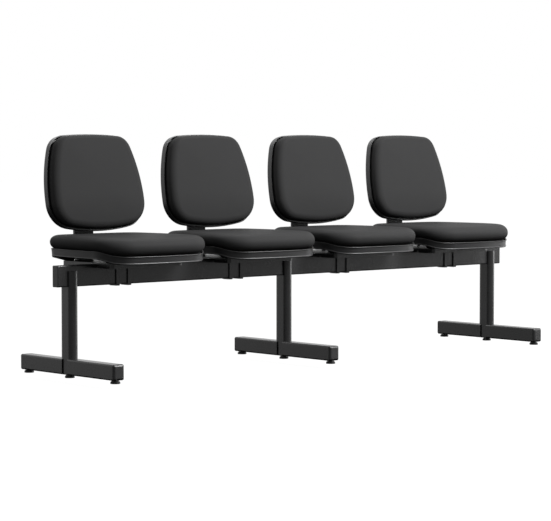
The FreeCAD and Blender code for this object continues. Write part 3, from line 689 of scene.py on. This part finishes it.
@dataclass(frozen=True)
class PadSection:
    """The section of a padded piece, from its board to the crown of its face."""

    draw_in: float
    bulge: float
    side: float
    height: float
    crown: float
    shoulder: Shoulder
    front_tuck: float = 0.0
    fullness: float = 0.95
    side_steps: int = 14
    top_steps: int = 24
    fill_steps: int = 18
    first_fill: float = 0.08

    @property
    def shoulder_top(self) -> float:
        """Return the rise where the shoulder meets the face."""
        return self.height - self.crown

    def rings(self, normals: np.ndarray) -> tuple[np.ndarray, np.ndarray]:
        """Work out the visible side and shoulder.

        The side swells out of its drawn-in base along a quarter of an ellipse, and the base is drawn
        in further where the outline faces forward, by the square of the normal's part. The shoulder
        rounds over to the face along a quarter of a fuller ellipse, whose run changes round the
        outline.

        Args:
            normals: Outward normals of shape (around, 2).

        Returns:
            Insets of shape (rings, around) and rises of shape (rings,).
        """
        turn = np.linspace(0.0, math.pi / 2, self.side_steps, endpoint=False)
        draw_in = self.draw_in + self.front_tuck * np.clip(-normals[:, 1], 0.0, None) ** 2
        side_inset = draw_in[None] - (draw_in[None] + self.bulge) * np.sin(turn)[:, None]
        side_rise = self.side * (1 - np.cos(turn))
        run = self.shoulder.along(normals)
        turn = np.linspace(0.0, math.pi / 2, self.top_steps)
        out = np.maximum(np.cos(turn), 0.0) ** self.fullness
        top_inset = run[None] - (run[None] + self.bulge) * out[:, None]
        top_rise = self.side + (self.shoulder_top - self.side) * np.sin(turn) ** self.fullness
        return np.concatenate([side_inset, top_inset]), np.concatenate([side_rise, top_rise])


class Pad:
    """An upholstered pad over an outline, as rings of points.

    Attributes:
        plan: Where each point lies in the outline's plane, of shape (rings, around, 2).
        rise: How far each ring stands above the base, of shape (rings, 1).
        inward: How far each point has come over the shoulder, from 0 to 1, of shape (rings, around).
    """

    def __init__(self, outline: Outline, section: PadSection, base: tuple[tuple[float, float], ...],
                 around: int = 264) -> None:
        """Work out the pad's rings: the underside, the base, the side, the shoulder and the face.

        Args:
            outline: The outline of its board.
            section: The section of its side.
            base: Insets and rises of the rings under the side, from the underside outwards.
            around: Points in a ring.
        """
        points, normals = outline.trace(around)
        inset, rise = section.rings(normals)
        low_inset = np.array([row[0] for row in base])
        low_rise = np.array([row[1] for row in base])
        inset = np.concatenate([np.repeat(low_inset[:, None], around, axis=1), inset])
        rise = np.concatenate([low_rise, rise])
        middle = np.array([0.0, (outline.front + outline.rear) / 2])
        body = points[None] - inset[:, :, None] * normals[None]
        shrink = np.cos(np.linspace(0.0, math.pi / 2, section.fill_steps + 2)[1:-1])[:, None, None]
        face = middle + (body[-1] - middle) * shrink
        face_rise = rise[-1] + section.crown * (1 - shrink[:, 0, 0] ** 2)
        grow = np.linspace(section.first_fill, 1.0, section.fill_steps, endpoint=False)[:, None, None]
        under = middle + (body[0] - middle) * grow
        self.plan = np.concatenate([under, body, face])
        self.rise = np.concatenate([np.full(section.fill_steps, low_rise[0]), rise, face_rise])[:, None]
        run = section.shoulder.along(normals)
        inward = np.clip(inset, 0.0, None) / run[None]
        inward[:len(base) + section.side_steps] = 0.0
        self.inward = np.concatenate([np.zeros((section.fill_steps, around)), inward,
                                      np.ones((section.fill_steps, around))])


def upholstered(name: str, stands_for: str, rings: np.ndarray,
                material: bpy.types.Material) -> bpy.types.Object:
    """Make a padded piece that takes the place of a CAD cushion.

    Args:
        name: The object's name.
        stands_for: The CAD node that it replaces.
        rings: Array of shape (rings, around, 3).
        material: The cover.

    Returns:
        The piece, riding on the seating.
    """
    piece = closed_mesh(name, rings, material)
    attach(piece, SEAT_BODY)
    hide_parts(stands_for)
    return piece


@dataclass(frozen=True)
class LipLine:
    """The line of the seat shell's lip, which falls towards the front in two arcs."""

    height: float = 0.411
    drop: float = 0.017
    start: float = -0.084
    length: float = 0.106

    def at(self, depth: np.ndarray) -> np.ndarray:
        """Work out the lip's height: level, then two parabolas that meet half way in an S.

        Args:
            depth: Any array of Y.

        Returns:
            The height at each Y.
        """
        along = np.clip((self.start - depth) / self.length, 0.0, 1.0)
        return self.height - self.drop * np.where(along < 0.5, 2 * along ** 2, 1 - 2 * (1 - along) ** 2)


@dataclass(frozen=True)
class SeatCushions:
    """The four seat pads, which lie in the shells and roll over at the front."""

    centres: tuple[float, ...]
    outline: Outline
    lip: LipLine
    section: PadSection = PadSection(draw_in=0.016, bulge=0.0045, side=0.022, height=0.0475, crown=0.003,
                                     shoulder=Shoulder(front=0.048, side=0.028, rear=0.022),
                                     front_tuck=0.012)
    base: tuple[tuple[float, float], ...] = ((0.0115, -0.0080), (0.0105, -0.0050), (0.0105, -0.0020),
                                             (0.0122, -0.0006))
    follow: float = 1.5
    front_roll: float = 0.006
    roll_depth: float = 0.17

    def build(self, material: bpy.types.Material) -> list[bpy.types.Object]:
        """Make the pads.

        The base follows the lip's line and the face stays level. A ring between them makes up the
        lip's fall by a power of its share of the height. Near the front the face also rolls down by
        the square of how far forward it lies.

        Args:
            material: The cover.

        Returns:
            One object for each seat.
        """
        pad = Pad(self.outline, self.section, self.base)
        depth = pad.plan[..., 1]
        lip = self.lip.at(depth)
        share = np.clip(pad.rise / self.section.shoulder_top, 0.0, 1.0) ** self.follow
        base = lip + (self.lip.height - lip) * share
        forward = np.clip((self.outline.front + self.roll_depth - depth) / self.roll_depth, 0.0, 1.0)
        height = base + pad.rise - self.front_roll * forward ** 2 * pad.inward
        made = []
        for number, centre in enumerate(self.centres, start=1):
            rings = np.stack([pad.plan[..., 0] + centre, depth, height], axis=-1)
            made.append(upholstered(f"seat_pad_{number}", f"seat_cushion_{number}", rings, material))
        return made


@dataclass(frozen=True)
class BackCushions:
    """The four backrest pads, which wrap their boards' edges and fall back towards their lower edge."""

    centres: tuple[float, ...]
    outline: Outline
    rear_face_at: float
    bottom: float
    recline: float
    board: float
    section: PadSection = PadSection(draw_in=0.0097, bulge=-0.0060, side=0.015, height=0.0395, crown=0.003,
                                     shoulder=Shoulder(front=0.028, side=0.036, rear=0.022))
    base: tuple[tuple[float, float], ...] = ((0.01075, 0.0), (0.01075, -0.0097), (0.0103, -0.0100),
                                             (0.0098, -0.0096), (0.0097, -0.0045))
    low_fall: float = 0.012
    low_reach: float = 0.120

    def build(self, material: bpy.types.Material) -> list[bpy.types.Object]:
        """Make the pads.

        The plan's Y is the height up the backrest and the rise points forward. The lowest part of
        the face falls back by the square of how low it lies, and the shoulder by its share of that.
        The whole is turned about X by the recline.

        Args:
            material: The cover.

        Returns:
            One object for each backrest.
        """
        pad = Pad(self.outline, self.section, self.base)
        up = pad.plan[..., 1]
        low = np.clip(1.0 - up / self.low_reach, 0.0, 1.0)
        share = np.clip(pad.rise / self.section.shoulder_top, 0.0, 1.0)
        forward = pad.rise + self.board - self.low_fall * low ** 2 * share
        lean = math.radians(self.recline)
        depth = self.rear_face_at - forward * math.cos(lean) + up * math.sin(lean)
        height = self.bottom + up * math.cos(lean) + forward * math.sin(lean)
        made = []
        for number, centre in enumerate(self.centres, start=1):
            rings = np.stack([pad.plan[..., 0] + centre, depth, height], axis=-1)
            made.append(upholstered(f"back_pad_{number}", f"back_cushion_{number}", rings, material))
        return made


@dataclass(frozen=True)
class Bead:
    """A round bead carried round an outline."""

    radius: float
    inset: float
    below_lip: float
    steps: int = 12
    around: int = 320

    def build(self, name: str, outline: Outline, lip: LipLine, centre: float,
              material: bpy.types.Material) -> bpy.types.Object:
        """Make the bead.

        Args:
            name: The object's name.
            outline: The shell's outline.
            lip: The shell's lip.
            centre: X of the seat's middle.
            material: The finish.

        Returns:
            The object.
        """
        points, normals = outline.trace(self.around)
        turn = np.linspace(0.0, 2 * math.pi, self.steps, endpoint=False)
        outward = self.radius * np.cos(turn)[:, None] - self.inset
        plan = points[None] + outward[..., None] * normals[None]
        height = lip.at(points[None, :, 1]) - self.below_lip + self.radius * np.sin(turn)[:, None]
        rings = np.stack([plan[..., 0] + centre, plan[..., 1], height], axis=-1)
        return tube_mesh(name, rings, material)


def tube_mesh(name: str, rings: np.ndarray, material: bpy.types.Material) -> bpy.types.Object:
    """Make a closed ring-shaped tube.

    Args:
        name: The object's name.
        rings: Array of shape (steps, around, 3), closed both ways.
        material: The finish.

    Returns:
        The object.
    """
    steps, around = rings.shape[:2]
    step = np.arange(around)
    after = (step + 1) % around
    row = np.arange(steps)[:, None] * around
    above = ((np.arange(steps) + 1) % steps)[:, None] * around
    quads = np.stack([row + step, row + after, above + after, above + step], axis=-1)
    return mesh_object(name, rings.reshape(-1, 3), [quads.reshape(-1, 4)], material)


@dataclass(frozen=True)
class ShellRims:
    """The rolled edges of each seat shell's band: a fine one on the lip and a fuller one below."""

    centres: tuple[float, ...]
    outline: Outline
    lip: LipLine
    upper: Bead = Bead(radius=0.0016, inset=0.0012, below_lip=0.0006)
    lower: Bead = Bead(radius=0.0028, inset=0.0046, below_lip=0.0226)

    def build(self, material: bpy.types.Material) -> list[bpy.types.Object]:
        """Make both beads of every seat.

        Args:
            material: The finish.

        Returns:
            The beads.
        """
        made = []
        for number, centre in enumerate(self.centres, start=1):
            for place, bead in (("upper", self.upper), ("lower", self.lower)):
                piece = bead.build(f"shell_rim_{place}_{number}", self.outline, self.lip, centre, material)
                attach(piece, SEAT_BODY)
                made.append(piece)
        return made


@dataclass(frozen=True)
class PhotoCamera:
    """The camera of the photograph, as fitted to the model."""

    azimuth: float = 42.18
    elevation: float = 3.08
    focal_pixels: float = 2168.0
    frame_pixels: float = 551.0
    place: tuple[float, float, float] = (-5.1455, -5.6344, 0.7573)
    sensor: float = 36.0
    far_end: float = 100.0

    def build(self) -> bpy.types.Object:
        """Create the camera and make it the scene's own.

        Returns:
            The camera.
        """
        turn = math.radians(self.azimuth)
        tilt = math.radians(self.elevation)
        forward = Vector((math.sin(turn) * math.cos(tilt), math.cos(turn) * math.cos(tilt), -math.sin(tilt)))
        data = bpy.data.cameras.new("photo_camera")
        data.sensor_fit = "HORIZONTAL"
        data.sensor_width = self.sensor
        data.lens = self.focal_pixels * self.sensor / self.frame_pixels
        data.clip_end = self.far_end
        camera = bpy.data.objects.new("photo_camera", data)
        bpy.context.scene.collection.objects.link(camera)
        turned = forward.to_track_quat("-Z", "Y").to_matrix().to_4x4()
        camera.matrix_world = Matrix.Translation(Vector(self.place)) @ turned
        bpy.context.scene.camera = camera
        return camera


@dataclass(frozen=True)
class Softbox:
    """One rectangular studio light that looks at its aim."""

    name: str
    place: tuple[float, float, float]
    aim: tuple[float, float, float]
    size: tuple[float, float]
    power: float

    def build(self) -> bpy.types.Object:
        """Create the light and turn it to its aim.

        Returns:
            The light.
        """
        data = bpy.data.lights.new(self.name, "AREA")
        data.shape = "RECTANGLE"
        data.size, data.size_y = self.size
        data.energy = self.power
        light = bpy.data.objects.new(self.name, data)
        bpy.context.scene.collection.objects.link(light)
        aim = Vector(self.aim) - Vector(self.place)
        turned = aim.to_track_quat("-Z", "Y").to_matrix().to_4x4()
        light.matrix_world = Matrix.Translation(Vector(self.place)) @ turned
        return light


@dataclass(frozen=True)
class Studio:
    """The floor, the lights and the white surroundings.

    The floor lies just under where the glides reach when they are screwed out, so they stay in view.
    Each pair that is called a ramp gives where a glow begins, as a part of a direction, and how much
    further it is full.
    """

    floor_half: float = 30.0
    floor_level: float = -0.0155
    behind: tuple[float, float] = (0.67, 0.74)
    dim: float = 0.01
    before: float = 0.40
    backdrop: float = 0.95
    overhead: float = 0.35
    beside: float = 0.90
    horizon_ramp: tuple[float, float] = (-0.18, 0.12)
    behind_ramp: tuple[float, float] = (-0.35, 0.42)
    beside_ramp: tuple[float, float] = (0.78, 0.15)
    lights: tuple[Softbox, ...] = (
        Softbox("softbox_key", place=(2.0, -3.1, 3.9), aim=(0.06, 0.0, 0.4), size=(2.6, 2.6), power=640.0),
        Softbox("softbox_top", place=(0.2, 1.7, 2.8), aim=(0.06, 0.0, 0.4), size=(3.2, 1.2), power=50.0),
        Softbox("softbox_right", place=(5.0, -1.6, 0.9), aim=(0.06, 0.0, 0.4), size=(1.0, 1.8), power=40.0),
    )

    def floor(self) -> bpy.types.Object:
        """Make the floor, a square sheet that rays of light and gloss pass through.

        Returns:
            The floor.
        """
        half = self.floor_half
        corners = np.array([[-half, -half], [half, -half], [half, half], [-half, half]])
        points = np.column_stack([corners, np.full(len(corners), self.floor_level)])
        sheet = mesh_object("floor", points, [np.array([[0, 1, 2, 3]])], PaleFloor().make())
        sheet.visible_diffuse = False
        sheet.visible_glossy = False
        return sheet

    def surroundings(self) -> None:
        """Make the world: white to the eye, and for light bright behind and on the right, dimmer in front."""
        world = bpy.data.worlds.new("studio_world")
        bpy.context.scene.world = world
        world.use_nodes = True
        recipe = Recipe(world.node_tree)
        where = recipe.node("ShaderNodeTexCoord", {}, {})
        parts = recipe.node("ShaderNodeSeparateXYZ", {}, {"Vector": recipe.signal(where, "Generated")})
        across, along, height = (recipe.signal(parts, axis) for axis in "XYZ")
        above = height.ramp(*self.horizon_ramp)
        facing = across * self.behind[0] + along * self.behind[1]
        back = facing.ramp(*self.behind_ramp)
        roof = height.at_least(0.0) * self.overhead
        level = self.before + back * (self.backdrop - self.before)
        right = across.ramp(*self.beside_ramp)
        glow = self.dim + above * ((level + roof).at_most(self.backdrop) + right * self.beside)
        path = recipe.node("ShaderNodeLightPath", {}, {})
        seen = recipe.signal(path, "Is Camera Ray")
        strength = glow + seen * (1.0 - glow)
        light = recipe.node("ShaderNodeBackground", {}, {"Color": (1.0, 1.0, 1.0, 1.0), "Strength": strength})
        output = recipe.node("ShaderNodeOutputWorld", {}, {})
        world.node_tree.links.new(light.outputs["Background"], output.inputs["Surface"])

    def build(self) -> None:
        """Set the stage."""
        bpy.context.scene.view_settings.view_transform = "Standard"
        self.floor()
        self.surroundings()
        for box in self.lights:
            box.build()
            LOG.info("light %s", box.name)


class Dresser:
    """Gives each CAD node the finish of its material slot."""

    def __init__(self) -> None:
        """Make one material for each slot."""
        self.finishes = {
            Slot.FRAME: PowderCoat().make(),
            Slot.SHELL: MouldedPlastic("shell_plastic", dark=(0.0085, 0.0085, 0.009),
                                       light=(0.013, 0.013, 0.0135), matt_roughness=0.42).make(),
            Slot.CAP: MouldedPlastic("cap_plastic", dark=(0.007, 0.007, 0.0072),
                                     light=(0.011, 0.011, 0.0115), matt_roughness=0.40).make(),
            Slot.GLIDE: MouldedPlastic("glide_plastic", dark=(0.007, 0.007, 0.0072),
                                       light=(0.012, 0.012, 0.0125), matt_roughness=0.34).make(),
            Slot.BOARD: Plywood().make(),
            Slot.VINYL: Vinyl().make(),
            Slot.SCREW: ZincPlate().make(),
        }

    def dress(self, frame: dict) -> None:
        """Put each node's finish into its material slots.
        """
        slots = {row["node"]: row["material_slot"] for row in frame["record"]["subparts"]}
        for name, node in frame["nodes"].items():
            finish = self.finishes[Slot(slots[name])]
            for place in node.material_slots:
                place.material = finish
            LOG.info("node %s gets %s", name, finish.name)


SEAT_OUTLINE = Outline(front=-0.196, rear=0.228, half_width=0.216, widest_at=-0.068, front_bow=0.9,
                       side_bow=1.3, rear_bow=1.5, front_corner=0.105, rear_corner=0.080)
BACK_OUTLINE = Outline(front=0.0, rear=0.330, half_width=0.1965, widest_at=0.100, front_bow=0.76,
                       side_bow=0.54, rear_bow=1.5, front_corner=0.084, rear_corner=0.066)
FIRST_SEAT_AT = -0.69
SEAT_PITCH = 0.5
SEAT_COUNT = 4


def main() -> None:
    """Build every piece in order."""
    logging.basicConfig(level=logging.INFO, format="%(name)s: %(message)s")
    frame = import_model()
    dresser = Dresser()
    dresser.dress(frame)
    vinyl = dresser.finishes[Slot.VINYL]
    centres = tuple(FIRST_SEAT_AT + SEAT_PITCH * index for index in range(SEAT_COUNT))
    lip = LipLine()
    seats = SeatCushions(centres, SEAT_OUTLINE, lip)
    backs = BackCushions(centres, BACK_OUTLINE, rear_face_at=0.172, bottom=0.465, recline=12.0,
                         board=0.0103)
    rims = ShellRims(centres, SEAT_OUTLINE, lip)
    for piece in seats.build(vinyl) + backs.build(vinyl) + rims.build(dresser.finishes[Slot.SHELL]):
        LOG.info("piece %s, %d faces", piece.name, len(piece.data.polygons))
    Studio().build()
    PhotoCamera().build()


if __name__ == "__main__":
    main()
